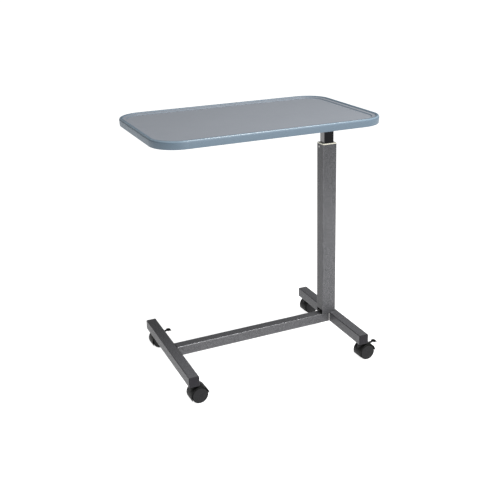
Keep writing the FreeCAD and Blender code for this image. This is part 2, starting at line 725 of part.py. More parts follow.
def build():
    """Every node's shape by name."""
    nodes = casters()
    sockets = [socket_sleeve(sx * FOOT_X, sy * STEM_Y) for sx in (-1, 1) for sy in (-1, 1)]
    screws = tray_screws()
    plate_bolts = head_bolts()
    base_bolts = column_bolts()
    nodes["tray_top"] = tray_top(screws)
    nodes["tray_screws"] = compound(screws)
    nodes["front_support_rail"] = support_rail(-1, screws, plate_bolts)
    nodes["rear_support_rail"] = support_rail(1, screws, plate_bolts)
    nodes["head_plate_bolts"] = compound(plate_bolts)
    nodes["column_bolts"] = compound(base_bolts)
    nodes["weld_beads"] = compound(weld_beads())
    mast_names = ("mast_tube", "mast_head_plate", "mast_glide", "rail_tie_bar")
    column_names = ("column_tube", "bush_screw", "column_foot_plate", "column_bush")
    spring_names = ("gas_cylinder", "gas_gland", "gas_rod", "release_pin", "rod_nut")
    lever_names = ("release_lever", "lever_grip", "lever_bracket", "lever_pin")
    base_names = ("left_foot_tube", "right_foot_tube", "crossbar_tube")
    nodes.update(zip(mast_names, mast_group(plate_bolts)))
    nodes.update(zip(column_names, column_group(base_bolts)))
    nodes.update(zip(spring_names, gas_spring()))
    nodes.update(zip(lever_names, release_lever()))
    nodes.update(zip(base_names, base_tubes(base_bolts, sockets)))
    return nodes


def export(nodes):
    """One STEP file per node."""
    os.makedirs("parts", exist_ok=True)
    for name, shape in nodes.items():
        shape.exportStep(f"parts/{name}.step")
    print(len(nodes), "nodes")


export(build())
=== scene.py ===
"""Looks of the overbed table: moulded tray, painted tube base, gloss mast and twin-wheel casters.

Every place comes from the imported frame. Lengths are metres; MM turns millimetres into metres.
"""
import json
import math

import bpy
import numpy as np
from mathutils import Matrix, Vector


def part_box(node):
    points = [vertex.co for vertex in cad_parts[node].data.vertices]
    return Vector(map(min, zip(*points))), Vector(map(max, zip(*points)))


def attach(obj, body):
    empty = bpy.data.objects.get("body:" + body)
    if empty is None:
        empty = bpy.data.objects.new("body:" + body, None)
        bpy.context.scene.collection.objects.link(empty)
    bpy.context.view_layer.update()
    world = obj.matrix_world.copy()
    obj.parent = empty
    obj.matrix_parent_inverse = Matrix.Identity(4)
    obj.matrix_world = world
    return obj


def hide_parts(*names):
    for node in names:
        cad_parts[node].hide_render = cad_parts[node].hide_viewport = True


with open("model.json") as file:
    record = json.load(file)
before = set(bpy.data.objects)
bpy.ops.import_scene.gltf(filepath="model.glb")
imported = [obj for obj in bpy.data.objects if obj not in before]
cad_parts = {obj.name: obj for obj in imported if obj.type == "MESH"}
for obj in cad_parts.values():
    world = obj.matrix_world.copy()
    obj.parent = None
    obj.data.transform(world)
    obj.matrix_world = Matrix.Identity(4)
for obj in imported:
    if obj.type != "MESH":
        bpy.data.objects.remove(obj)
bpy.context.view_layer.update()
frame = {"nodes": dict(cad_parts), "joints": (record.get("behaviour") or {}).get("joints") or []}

MM = 0.001

# Painted tubes
TUBE_RADIUS = 3.0 * MM
FOOT_SHADE_HEIGHT = 45 * MM         # height over which the column is painted darker at its foot, a painted shade where it meets the crossbar
HEAD_SHADE_HEIGHT = 260 * MM        # and below its mouth, a painted shade under the tray

# Tray: widths are taken in from its outside, heights down from its rim
TRAY_CORNER = 88 * MM
PANEL_EDGE = 12 * MM         # the grained panel starts here
GALLERY_STEP = (22.4 * MM, 26 * MM)
CREST_HIGHLIGHT_WIDTH = 4.4 * MM       # the part of the rim painted lighter as a painted highlight
CREST_HIGHLIGHT_DEPTH = 1.7 * MM
PANEL_UNDER = 12 * MM
SKIRT_WALL = 5.6 * MM
RIB_COUNT = 6
RIB_SPAN = 300 * MM
RIB_INNER = 69 * MM
RIB_DEPTH = 9 * MM

# Casters; angles are degrees about the axle, from straight ahead
HOOD_GAP = 1.0 * MM
HOOD_THICK = 2.2 * MM
HOOD_HALF = 22.4 * MM
HOOD_START = 5.0
HOOD_END = 204.0
BAND_NOSE = 1.3              # how far the rounded ends of the band reach past it
SLOT_HALF = 3.9 * MM
SLOT_ANGLE = 66.0
WEB_HALF = 4.5 * MM
WEB_DIP = 24.0
BRAKED_WEB_START = 76.0
WHEEL_INNER = 5.2 * MM
WHEEL_WIDTH = 16.5 * MM
WHEEL_LIFT = 0.02 * MM       # keeps the tread just clear of the floor
TREAD_EDGE = 3.0 * MM

# Base details
WELD_LEG = 3.6 * MM
WELD_INSET = 2 * MM
BOLT_SPACING = 20 * MM
FLOOR_HALF = 40.0

JOINTS = {joint["name"]: joint for joint in frame["joints"]}


# ------------------------------------------------------------------ shaders

class Wire:
    """A value in a shader's node tree; arithmetic on it adds Math nodes."""

    def __init__(self, shader, socket):
        self.shader = shader
        self.socket = socket

    def _math(self, operation, first, second):
        return self.shader.add("ShaderNodeMath", {"operation": operation}, {0: first, 1: second})

    def __add__(self, other):
        return self._math("ADD", self, other)

    __radd__ = __add__

    def __sub__(self, other):
        return self._math("SUBTRACT", self, other)

    def __rsub__(self, other):
        return self._math("SUBTRACT", other, self)

    def __mul__(self, other):
        return self._math("MULTIPLY", self, other)

    __rmul__ = __mul__

    def absolute(self):
        """The value without its sign."""
        return self._math("ABSOLUTE", self, 0.0)

    def most(self, other):
        """The larger of the two."""
        return self._math("MAXIMUM", self, other)

    def between(self, low, high):
        """0 below low, 1 above high, straight between; low may be the larger."""
        sockets = {"Value": self, "From Min": low, "From Max": high}
        return self.shader.add("ShaderNodeMapRange", {"clamp": True}, sockets)


class Shader:
    """One material: add() makes any node, and paint() sets the sockets of its finish."""

    def __init__(self, name):
        self.material = bpy.data.materials.new(name)
        self.material.use_nodes = True
        self.tree = self.material.node_tree
        self.surface = self.tree.nodes["Principled BSDF"]
        self.place = self.add("ShaderNodeTexCoord", output="Object")

    def add(self, kind, settings=None, sockets=None, output=0):
        """Makes a node with settings and fed sockets, and gives one of its outputs."""
        node = self.tree.nodes.new(kind)
        for key, value in (settings or {}).items():
            setattr(node, key, value)
        for key, value in (sockets or {}).items():
            self.feed(node.inputs[key], value)
        return Wire(self, node.outputs[output])

    def feed(self, socket, value):
        """Links a wire to a socket, or sets it to a number or a colour."""
        if isinstance(value, Wire):
            self.tree.links.new(value.socket, socket)
        elif hasattr(value, "__len__") and len(socket.default_value) == 4 and len(value) == 3:
            socket.default_value = (*value, 1.0)
        else:
            socket.default_value = value

    def paint(self, **finish):
        """Sets the surface's sockets: base_color becomes Base Color, and so on."""
        for key, value in finish.items():
            words = key.replace("_", " ").title().replace("Ior", "IOR")
            self.feed(self.surface.inputs[words], value)
        return self.material

    def noise(self, scale, detail=3.0, roughness=0.5, distortion=0.0, place=None):
        """Soft cloudy noise between 0 and 1."""
        sockets = {
            "Vector": place or self.place,
            "Scale": scale,
            "Detail": detail,
            "Roughness": roughness,
            "Distortion": distortion,
        }
        return self.add("ShaderNodeTexNoise", None, sockets)

    def cells(self, scale, feature="F1"):
        """Distance to the nearest point of a random scatter, or to the edge between two cells."""
        sockets = {"Vector": self.place, "Scale": scale}
        return self.add("ShaderNodeTexVoronoi", {"feature": feature}, sockets)

    def stretched(self, scale, turn=(0.0, 0.0, 0.0)):
        """Object coordinates scaled apart along the axes, for brushed and streaked patterns."""
        sockets = {"Vector": self.place, "Scale": scale, "Rotation": turn}
        return self.add("ShaderNodeMapping", None, sockets)

    def axis(self, name):
        """One coordinate of the point, in metres."""
        return self.add("ShaderNodeSeparateXYZ", None, {"Vector": self.place}, name)

    def mix(self, share, first, second):
        """Colour that goes from the first to the second as share goes from 0 to 1."""
        node = self.tree.nodes.new("ShaderNodeMix")
        node.data_type = "RGBA"
        colour_inputs = [s for s in node.inputs if s.type == "RGBA"]
        self.feed(node.inputs[0], share)
        self.feed(colour_inputs[0], first)
        self.feed(colour_inputs[1], second)
        return Wire(self, next(s for s in node.outputs if s.type == "RGBA"))

    def bump(self, height, distance, strength=1.0):
        """A normal tilted as if the surface stood up by height times distance."""
        sockets = {"Height": height, "Distance": distance, "Strength": strength}
        return self.add("ShaderNodeBump", None, sockets, "Normal")

    def attribute(self, name):
        """A value stored on the mesh's points."""
        return self.add("ShaderNodeAttribute", {"attribute_name": name}, None, "Fac")


def tray_plastic():
    """Blue-grey moulded tray: greyer grained panel with faint scuffs, rim painted lighter along its crest as
    a painted highlight.
    """
    shader = Shader("tray_plastic")
    panel = shader.attribute("panel")
    cloud = shader.noise(9.0, 4.0, 0.6)
    blend = shader.noise(55.0, 2.0, 0.5)
    crest = shader.attribute("crest")
    rim_colour = shader.mix(cloud, (0.095, 0.138, 0.180), (0.108, 0.154, 0.198))
    # Painted highlight: the rim's outer crest is painted lighter.
    rim_colour = shader.mix(crest * 0.45, rim_colour, (0.33, 0.42, 0.49))
    panel_colour = shader.mix(cloud, (0.210, 0.226, 0.253), (0.232, 0.249, 0.276))
    colour = shader.mix(panel, rim_colour, panel_colour)
    speck = shader.cells(900.0).between(0.16, 0.05) * panel
    colour = shader.mix(speck * 0.30, colour, (0.22, 0.25, 0.29))
    scratch_place = shader.stretched((6.0, 260.0, 6.0), (0.0, 0.0, 0.5))
    scratch = shader.noise(1.0, 2.0, 0.5, 0.4, scratch_place).between(0.68, 0.74) * panel
    colour = shader.mix(scratch * 0.25, colour, (0.20, 0.24, 0.28))
    grain = shader.noise(1400.0, 2.0, 0.6) * 0.6 + shader.cells(700.0) * 0.4
    roughness = 0.40 + 0.04 * panel + 0.08 * blend + 0.10 * scratch - 0.20 * crest
    normal = shader.bump(grain * (0.35 + 0.65 * panel), 0.00012, 0.6)
    return shader.paint(base_color=colour, roughness=roughness, normal=normal)


def silver_vein(name, half_width=None, centre=None, across=None, ends=None):
    """Dark powder coat with a network of silver veins.

    With half_width, centre and across, its round corners on a tube are painted lighter, partly rubbed wear
    and partly a painted highlight, and made glossier and more metallic; ends are the two heights near which
    an upright tube is painted darker, a painted shade.
    """
    shader = Shader(name)
    wander = shader.noise(420.0, 2.0, 0.5)
    net = shader.cells(430.0, "DISTANCE_TO_EDGE")
    fine = shader.cells(1100.0, "DISTANCE_TO_EDGE")
    thread = net.between(0.17, 0.02) * 0.7 + fine.between(0.22, 0.03) * 0.4
    vein = thread * wander.between(0.30, 0.62)
    cloud = shader.noise(14.0, 3.0, 0.5)
    dark = shader.mix(cloud, (0.046, 0.046, 0.049), (0.062, 0.062, 0.066))
    colour = shader.mix(vein, dark, (0.20, 0.20, 0.21))
    roughness = 0.42 - 0.12 * vein + 0.08 * cloud
    metallic = vein * 0.3
    relief = 1.0
    if ends:
        # Painted shade: the column is painted darker at its foot, where it meets the crossbar, and below its
        # mouth, under the tray.
        height = shader.axis("Z")
        foot = height.between(ends[0] + FOOT_SHADE_HEIGHT, ends[0])
        head = height.between(ends[1] - HEAD_SHADE_HEIGHT, ends[1])
        grime_and_shade = foot.most(head * 0.8) * (0.8 + 0.2 * cloud)
        colour = shader.mix(grime_and_shade * 0.55, colour, (0.024, 0.024, 0.026))
    if half_width:
        depths = []
        for axis_name, middle, half in zip(across, centre, half_width):
            depths.append(half - (shader.axis(axis_name) - middle).absolute())
        corner = depths[0].most(depths[1]).between(TUBE_RADIUS, 0.75 * TUBE_RADIUS)
        rubbed_and_highlight = corner * shader.noise(70.0, 4.0, 0.6).between(0.42, 0.62)
        # The corners are painted lighter: partly rubbed wear, partly a painted highlight along the round
        # edges.
        colour = shader.mix(corner * 0.6, colour, (0.115, 0.115, 0.12))
        colour = shader.mix(rubbed_and_highlight * 0.35, colour, (0.24, 0.24, 0.25))
        metallic = metallic * (1 - corner) + corner * 0.75
        roughness = roughness - corner * 0.14
        relief = 1 - 0.6 * corner
    normal = shader.bump((vein * 0.6 + net * 0.8) * relief, 0.00025, 0.55)
    return shader.paint(
        base_color=colour, roughness=roughness, metallic=metallic, normal=normal, specular_ior_level=0.26,
    )


def gloss_enamel():
    """Black mirror-bright mast with fine draw lines, its two sides painted grey as a painted reflection."""
    shader = Shader("gloss_enamel")
    lines = shader.noise(1.0, 3.0, 0.6, 0.0, shader.stretched((900.0, 900.0, 3.0)))
    haze = shader.noise(1.0, 2.0, 0.5, 0.0, shader.stretched((60.0, 60.0, 1.5)))
    colour = shader.mix(haze, (0.006, 0.006, 0.007), (0.012, 0.012, 0.013))
    colour = shader.mix(lines.between(0.62, 0.78) * 0.3, colour, (0.030, 0.028, 0.026))
    low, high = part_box("mast_tube")
    middle, half = (low.x + high.x) / 2, (high.x - low.x) / 2
    # Painted reflection: the two faces across X are painted grey for the pale floor they reflect.
    side = (shader.axis("X") - middle).absolute().between(half - 0.9 * MM, half - 0.3 * MM)
    colour = shader.mix(side * (0.85 + 0.15 * haze), colour, (0.165, 0.163, 0.165))
    roughness = 0.13 + 0.10 * haze + 0.05 * lines
    normal = shader.bump(lines, 0.00003, 0.4)
    return shader.paint(
        base_color=colour, roughness=roughness, metallic=1.0, normal=normal,
        coat_weight=1.0, coat_ior=1.12, coat_roughness=0.08, sheen_weight=0.7, sheen_roughness=0.25,
    )


def satin_black_paint():
    """Sprayed black paint on the hidden steelwork: orange peel, dust and rubbed specks."""
    shader = Shader("satin_black_paint")
    peel = shader.noise(420.0, 2.0, 0.5)
    dust = shader.noise(24.0, 5.0, 0.65)
    speck = shader.cells(240.0).between(0.10, 0.04) * shader.noise(30.0).between(0.55, 0.7)
    colour = shader.mix(dust, (0.018, 0.018, 0.019), (0.040, 0.040, 0.042))
    colour = shader.mix(speck * 0.5, colour, (0.22, 0.22, 0.22))
    normal = shader.bump(peel, 0.00012, 0.5)
    return shader.paint(base_color=colour, roughness=0.36 + 0.18 * dust, normal=normal)


def ivory_nylon():
    """Cream guide plastic with faint flow marks and grey rubbing where the mast slides."""
    shader = Shader("ivory_nylon")
    flow = shader.noise(1.0, 4.0, 0.6, 0.8, shader.stretched((40.0, 40.0, 120.0)))
    grime_and_shade = shader.noise(60.0, 5.0, 0.65).between(0.50, 0.75)
    colour = shader.mix(flow, (0.84, 0.79, 0.62), (0.92, 0.89, 0.78))
    colour = shader.mix(grime_and_shade * 0.30, colour, (0.42, 0.38, 0.29))
    normal = shader.bump(flow + 0.4 * shader.noise(900.0), 0.0001, 0.5)
    return shader.paint(base_color=colour, roughness=0.38 + 0.16 * grime_and_shade, normal=normal)


def moulded_black(name, tint, grain_scale, shine):
    """Textured black moulding: pebble grain, dusty bloom and pale scuffs."""
    shader = Shader(name)
    pebble = shader.cells(grain_scale) * 0.6 + shader.noise(grain_scale * 1.6) * 0.4
    dust = shader.noise(35.0, 5.0, 0.65)
    scuff = shader.noise(1.0, 3.0, 0.6, 0.6, shader.stretched((220.0, 50.0, 90.0), (0.3, 0.5, 0.2)))
    dull = [channel * 1.5 + 0.002 for channel in tint]
    colour = shader.mix(dust, tint, dull)
    colour = shader.mix(scuff.between(0.64, 0.74) * 0.25, colour, (0.08, 0.08, 0.08))
    normal = shader.bump(pebble, 0.00016, 0.6)
    return shader.paint(
        base_color=colour, roughness=shine + 0.14 * dust, normal=normal, specular_ior_level=0.14,
    )


def wheel_nylon():
    """Matte wheel: dark face with turned rings, shoulders and tread painted blacker as painted shade under
    the hood, and grit pressed into the tread.
    """
    shader = Shader("wheel_nylon")
    tread = shader.attribute("tread")
    dust = shader.noise(70.0, 5.0, 0.65)
    grit = shader.cells(600.0).between(0.22, 0.06) * tread
    colour = shader.mix(dust, (0.016, 0.016, 0.017), (0.025, 0.025, 0.026))
    # Painted shade: the shoulders and tread are painted blacker for the shade under the hood round the
    # wheel's rim.
    colour = shader.mix(tread * (0.70 + 0.25 * dust), colour, (0.003, 0.003, 0.003))
    colour = shader.mix(grit * 0.5, colour, (0.09, 0.085, 0.075))
    turning = shader.attribute("radius") * 5200.0
    rings = shader.add("ShaderNodeMath", {"operation": "SINE"}, {0: turning})
    height = rings * 0.25 * (1 - tread) + shader.noise(900.0) * 0.6
    normal = shader.bump(height, 0.00008, 0.6)
    return shader.paint(
        base_color=colour, roughness=0.50 + 0.2 * dust, normal=normal, specular_ior_level=0.11,
    )


def weld_metal():
    """Bright weld bead under thin paint: rippled metal, darker in patches."""
    shader = Shader("weld_metal")
    ripple = shader.noise(600.0, 3.0, 0.6)
    tint = shader.noise(90.0, 3.0, 0.5)
    colour = shader.mix(tint, (0.30, 0.30, 0.31), (0.50, 0.49, 0.47))
    colour = shader.mix(ripple.between(0.55, 0.75) * 0.5, colour, (0.12, 0.12, 0.12))
    normal = shader.bump(ripple, 0.0002, 0.6)
    return shader.paint(base_color=colour, roughness=0.34 + 0.2 * tint, metallic=0.7, normal=normal)


def zinc_plate():
    """Zinc-plated steel: blotchy passivation over fine turning lines."""
    shader = Shader("zinc_plate")
    blotch = shader.noise(120.0, 4.0, 0.6)
    lines = shader.noise(1.0, 2.0, 0.5, 0.0, shader.stretched((300.0, 300.0, 2600.0)))
    colour = shader.mix(blotch, (0.48, 0.47, 0.44), (0.66, 0.66, 0.66))
    normal = shader.bump(lines, 0.00005, 0.5)
    return shader.paint(base_color=colour, roughness=0.26 + 0.2 * blotch, metallic=1.0, normal=normal)


def chromed_rod():
    """Hard-chromed piston rod with a film of oil."""
    shader = Shader("chromed_rod")
    film = shader.noise(1.0, 4.0, 0.6, 0.0, shader.stretched((40.0, 40.0, 6.0)))
    colour = shader.mix(film, (0.62, 0.62, 0.60), (0.78, 0.78, 0.78))
    normal = shader.bump(shader.noise(1600.0), 0.00003, 0.4)
    return shader.paint(base_color=colour, roughness=0.08 + 0.12 * film, metallic=1.0, normal=normal)


# ------------------------------------------------------------------ outlines and surfaces

def fillet(points, radii, steps=6):
    """Closed outline with each corner replaced by an arc tangent to both its sides."""
    points = np.asarray(points, float)
    before = np.roll(points, 1, axis=0) - points
    after = np.roll(points, -1, axis=0) - points
    before /= np.linalg.norm(before, axis=1)[:, None]
    after /= np.linalg.norm(after, axis=1)[:, None]
    half_angle = np.arccos(np.clip((before * after).sum(1), -1, 1)) / 2
    radii = np.broadcast_to(np.asarray(radii, float), len(points))
    reach = radii / np.tan(half_angle)
    bisector = before + after
    bisector /= np.linalg.norm(bisector, axis=1)[:, None]
    centre = points + bisector * (radii / np.sin(half_angle))[:, None]
    start = points + before * reach[:, None] - centre
    end = points + after * reach[:, None] - centre
    share = np.linspace(0, 1, steps + 1)[None, :, None]
    sweep = np.pi - 2 * half_angle
    along = np.sin((1 - share) * sweep[:, None, None]) * start[:, None]
    across = np.sin(share * sweep[:, None, None]) * end[:, None]
    arcs = centre[:, None] + (along + across) / np.sin(sweep)[:, None, None]
    return arcs.reshape(-1, points.shape[1])


def outward(outline):
    """Unit normals of a closed counter-clockwise outline, from its chord through each point."""
    chord = np.roll(outline, -1, axis=0) - np.roll(outline, 1, axis=0)
    normal = np.stack([chord[:, 1], -chord[:, 0]], axis=1)
    return normal / np.linalg.norm(normal, axis=1)[:, None]


def counter_clockwise(outline):
    """The outline, turned round if it runs clockwise (its signed area is negative)."""
    x, y = outline[:, 0], outline[:, 1]
    area = (x * np.roll(y, -1) - y * np.roll(x, -1)).sum()
    return outline if area > 0 else outline[::-1]


def grid_faces(rows, columns, first=0):
    """Quads of a grid whose columns close on themselves, as indices."""
    row = np.arange(rows - 1)[:, None] * columns
    here = np.arange(columns)[None, :]
    following = (here + 1) % columns
    quads = np.stack([row + here, row + following, row + columns + following, row + columns + here], -1)
    return quads.reshape(-1, 4) + first


class Shell:
    """Closed surfaces gathered into one mesh, with named values kept for each point."""

    def __init__(self):
        self.points = []
        self.faces = []
        self.values = {}
        self.count = 0

    def rings(self, rings, cap_start=True, cap_end=True, **values):
        """Adds rings of points (rows x columns x 3) joined by quads, with flat caps on the ends."""
        rows, columns = rings.shape[:2]
        first = self.count
        self.points.append(rings.reshape(-1, 3))
        self.faces += grid_faces(rows, columns, first).tolist()
        if cap_start:
            self.faces.append([first + k for k in reversed(range(columns))])
        if cap_end:
            self.faces.append([first + (rows - 1) * columns + k for k in range(columns)])
        for name, value in values.items():
            spread = np.broadcast_to(value, (rows, columns)).reshape(-1)
            self.values.setdefault(name, []).append(spread)
        self.count += rows * columns
        return self

    def piece(self, name, material, smooth_below=40.0):
        """Makes the object: faces outward, smooth shaded below an angle between faces, in degrees."""
        mesh = bpy.data.meshes.new(name)
        mesh.from_pydata(np.concatenate(self.points).tolist(), [], self.faces)
        mesh.update()
        for key, parts in self.values.items():
            layer = mesh.attributes.new(key, "FLOAT", "POINT")
            layer.data.foreach_set("value", np.concatenate(parts).astype(np.float32))
        mesh.materials.append(material)
        made = bpy.data.objects.new(name, mesh)
        bpy.context.scene.collection.objects.link(made)
        bpy.context.view_layer.objects.active = made
        for other in bpy.context.selected_objects:
            other.select_set(False)
        made.select_set(True)
        bpy.ops.object.mode_set(mode="EDIT")
        bpy.ops.mesh.select_all(action="SELECT")
        bpy.ops.mesh.normals_make_consistent(inside=False)
        bpy.ops.object.mode_set(mode="OBJECT")
        mesh.polygons.foreach_set("use_smooth", np.ones(len(mesh.polygons), bool))
        bpy.ops.object.shade_smooth_by_angle(angle=math.radians(smooth_below))
        return made


def slab_rings(outline, half, edge, steps=4):
    """An outline given thickness, with rounded edges.

    Near each face, at depth v, it shrinks by edge - sqrt(edge^2 - (v - half + edge)^2).
    """
    outline = counter_clockwise(np.asarray(outline, float))
    turn = np.linspace(0, np.pi / 2, steps + 1)
    shrink = edge * (1 - np.sin(turn))
    depth = half - edge * (1 - np.cos(turn))
    shrink = np.concatenate([shrink, shrink[::-1]])
    depth = np.concatenate([-depth, depth[::-1]])
    flat = outline[None] - outward(outline)[None] * shrink[:, None, None]
    return flat, depth


def lathe_rings(profile, turns=64):
    """A profile of (radius, height) turned about an axis: x = r cos a, y = r sin a, z = height."""
    profile = np.asarray(profile, float)
    angle = np.arange(turns) * 2 * np.pi / turns
    x = profile[:, :1] * np.cos(angle)[None]
    y = profile[:, :1] * np.sin(angle)[None]
    z = np.broadcast_to(profile[:, 1:], x.shape)
    return np.stack([x, y, z], -1)


def stand_in(made, body, slot, *nodes):
    """A new piece rides on a body and stands for CAD nodes, which it hides; slot is not used."""
    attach(made, body)
    if nodes:
        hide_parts(*nodes)
    return made


# ------------------------------------------------------------------ tray

def tray_section(height):
    """The wall of the tray from the panel's edge, over gallery and rim, down the skirt and back inside.

    Each corner is its distance in from the outside, its height over the rim and its arc's radius, all in
    millimetres. The points come back as distance in and height, in metres.
    """
    corners = np.array([
        (40.0, -6.5, 0.0),
        (25.5, -6.5, 3.0),
        (22.8, -3.6, 1.2),
        (12.8, -3.3, 1.6),
        (9.6, 0.0, 1.4),
        (2.6, 0.0, 3.0),
        (0.0, -5.0, 3.0),
        (1.2, -height / MM, 1.6),
        (6.2, -height / MM, 1.6),
        (5.0, -12.0, 3.5),
        (40.0, -12.0, 0.0),
    ])
    outline = [corners[0, :2]]
    for before, here, after in zip(corners[:-2], corners[1:-1], corners[2:]):
        outline += list(corner_arc(before[:2], here[:2], after[:2], here[2]))
    outline.append(corners[-1, :2])
    return np.array(outline) * MM


def corner_arc(before, here, after, radius, steps=5):
    """Points of the arc that rounds one corner of an open line."""
    return fillet([before, here, after], [1e-6, radius, 1e-6], steps)[steps + 1:2 * (steps + 1)]


def rounded_rectangle(half_x, half_y, radius, corner_steps=20, side_steps=24):
    """Closed outline: straight sides and quarter circles, the same count of points whatever the size."""
    turn = np.linspace(0, np.pi / 2, corner_steps + 1)
    quarter = np.stack([np.cos(turn), np.sin(turn)], 1) * radius
    path = []
    for k, (sx, sy) in enumerate(((1, 1), (-1, 1), (-1, -1), (1, -1))):
        c, s = ((1, 0), (0, 1), (-1, 0), (0, -1))[k]
        turned_x = quarter[:, 0] * c - quarter[:, 1] * s
        turned_y = quarter[:, 0] * s + quarter[:, 1] * c
        centre = np.array([sx * (half_x - radius), sy * (half_y - radius)])
        path.append(np.stack([turned_x, turned_y], 1) + centre)
    outline = []
    for k in range(4):
        outline.append(path[k])
        start, end = path[k][-1], path[(k + 1) % 4][0]
        share = np.linspace(0, 1, side_steps + 1)[1:-1, None]
        outline.append(start + (end - start) * share)
    return np.concatenate(outline)


def tray(material):
    """The section carried round a rounded rectangle; inset shrinks the rectangle and its corners."""
    low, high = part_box("tray_top")
    half_x, half_y = (high.x - low.x) / 2, (high.y - low.y) / 2
    middle = (low + high) / 2
    section = tray_section(high.z - low.z)
    rings = []
    for inset, height in section:
        flat = rounded_rectangle(half_x - inset, half_y - inset, TRAY_CORNER - inset)
        level = np.full(len(flat), high.z + height)
        rings.append(np.column_stack([flat[:, 0] + middle.x, flat[:, 1] + middle.y, level]))
    rings = np.array(rings)
    inset, height = section[:, 0], section[:, 1]
    above = height > -8 * MM
    step = (inset > GALLERY_STEP[0]) & (inset < GALLERY_STEP[1])
    panel = np.clip((inset - PANEL_EDGE) / MM, 0, 1) * above * np.where(step, 0.35, 1.0)
    crest = (inset < CREST_HIGHLIGHT_WIDTH) & (height > -CREST_HIGHLIGHT_DEPTH)
    shell = Shell().rings(rings, panel=panel[:, None], crest=crest.astype(float)[:, None])
    return stand_in(shell.piece("tray_moulding", material), "mast", "tray_plastic", "tray_top")


def tray_ribs(material):
    """Cross ribs under the panel: drafted bars whose depth grows from nearly nothing at the inner end.

    At a share t of its length a rib is RIB_DEPTH (1 - 0.75 exp(-14 t)) deep.
    """
    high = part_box("tray_top")[1]
    top = high.z - PANEL_UNDER
    shell = Shell()
    inner, outer = RIB_INNER, high.y - SKIRT_WALL
    half_top, half_foot = 1.9 * MM, 1.2 * MM
    across = np.array([half_top, half_top, half_foot, -half_foot, -half_top, -half_top])
    for x in np.linspace(-RIB_SPAN, RIB_SPAN, RIB_COUNT):
        for side in (-1, 1):
            along = np.linspace(0, 1, 17)
            y = side * (inner + (outer - inner) * along)
            depth = RIB_DEPTH * (1 - 0.75 * np.exp(-along * 14))
            sunk = -0.2 * MM / depth
            shoulder = np.full(len(along), 0.1)
            foot = np.ones(len(along))
            drop = np.array([sunk, shoulder, foot, foot, shoulder, sunk])
            ring = np.empty((len(along), 6, 3))
            ring[:, :, 0] = x + across[None]
            ring[:, :, 1] = y[:, None]
            ring[:, :, 2] = top - drop.T * depth[:, None]
            shell.rings(ring, panel=0.0, crest=0.0)
    return stand_in(shell.piece("tray_ribs", material, 30.0), "mast", "tray_plastic")


# ------------------------------------------------------------------ casters

class Caster:
    """Places of one caster, read from its joints: stem, wheel centre, axle and the way ahead."""

    def __init__(self, name):
        self.name = name
        self.stem = np.array(JOINTS[f"{name}_swivel"]["pos_m"])
        self.hub = np.array(JOINTS[f"{name}_spin_a"]["pos_m"])
        self.axle = np.array(JOINTS[f"{name}_spin_a"]["axis"])
        self.up = np.array([0.0, 0.0, 1.0])
        self.ahead = np.cross(self.axle, self.up)
        self.trail = float((self.hub - self.stem) @ self.ahead)
        self.wheel_radius = self.hub[2]
        self.braked = f"{name}_brake_pedal" in frame["nodes"]

    def stand(self, flat, across):
        """World points from (distance ahead of the stem, height) and distance along the axle."""
        ground = np.array([self.stem[0], self.stem[1], 0.0])
        ahead = flat[..., :1] * self.ahead
        return ground + ahead + flat[..., 1:] * self.up + across[..., None] * self.axle

    def band(self, radius, degrees):
        """Points at a radius about the hub, in the caster's upright plane."""
        angle = np.radians(degrees)
        ahead = self.trail + radius * np.cos(angle)
        height = self.wheel_radius + radius * np.sin(angle)
        return np.stack([ahead, height], -1)


def slab(caster, shell, outline, half, edge, middle=0.0):
    """Adds an upright slab of an outline in the caster's plane, centred across at middle."""
    flat, depth = slab_rings(outline, half, edge)
    across = np.broadcast_to((depth + middle)[:, None], flat.shape[:2])
    shell.rings(caster.stand(flat, across))


def hood(caster, material):
    """Fender band over both wheels, the web between them and the turned boss under the socket.

    Band and web lie between arcs about the axle, at hub + radius (cos a, sin a), and are given thickness
    along it. A braked caster's band is parted in front, to leave a slot for the pedal's arm.
    """
    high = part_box(f"{caster.name}_hood")[1]
    inner = caster.wheel_radius + HOOD_GAP
    outer = inner + HOOD_THICK
    middle = (inner + outer) / 2
    if caster.braked:
        side_half = (HOOD_HALF - SLOT_HALF) / 2
        aside = SLOT_HALF + side_half
        parts = (
            (np.linspace(SLOT_ANGLE, HOOD_END, 37), (0.0,), HOOD_HALF),
            (np.linspace(HOOD_START, SLOT_ANGLE + 0.5, 17), (-aside, aside), side_half),
        )
    else:
        parts = ((np.linspace(HOOD_START, HOOD_END, 49), (0.0,), HOOD_HALF),)
    shell = Shell()
    for sweep, places, width in parts:
        band = np.concatenate([
            caster.band(outer, sweep),
            caster.band(middle, sweep[-1:] + BAND_NOSE),
            caster.band(inner, sweep[::-1]),
            caster.band(middle, sweep[:1] - BAND_NOSE),
        ])
        for place in places:
            slab(caster, shell, band, width, 0.7 * MM, place)
    web_start = BRAKED_WEB_START if caster.braked else -WEB_DIP
    web = caster.band(inner + 0.4 * MM, np.linspace(web_start, 180 + WEB_DIP, 45))
    slab(caster, shell, web, WEB_HALF, 0.6 * MM)
    rings = lathe_rings(boss_profile(high.z / MM), 40)
    rings[..., :2] += caster.stem[:2]
    shell.rings(np.concatenate([rings, rings[:1]]), cap_start=False, cap_end=False)
    made = shell.piece(f"{caster.name}_hood_moulding", material, 35.0)
    return stand_in(made, f"{caster.name}_caster", "black_plastic", f"{caster.name}_hood")


def boss_profile(top):
    """The boss round the stem, up its outside and down its bore, from its top's height in millimetres."""
    return np.array([
        (5.0, 37.0), (9.2, 37.0), (9.4, 47.0), (10.2, 50.5), (9.4, top - 5.0), (9.2, top - 0.8),
        (8.5, top), (5.4, top), (5.05, top - 1.0), (5.05, 44.0),
    ]) * MM


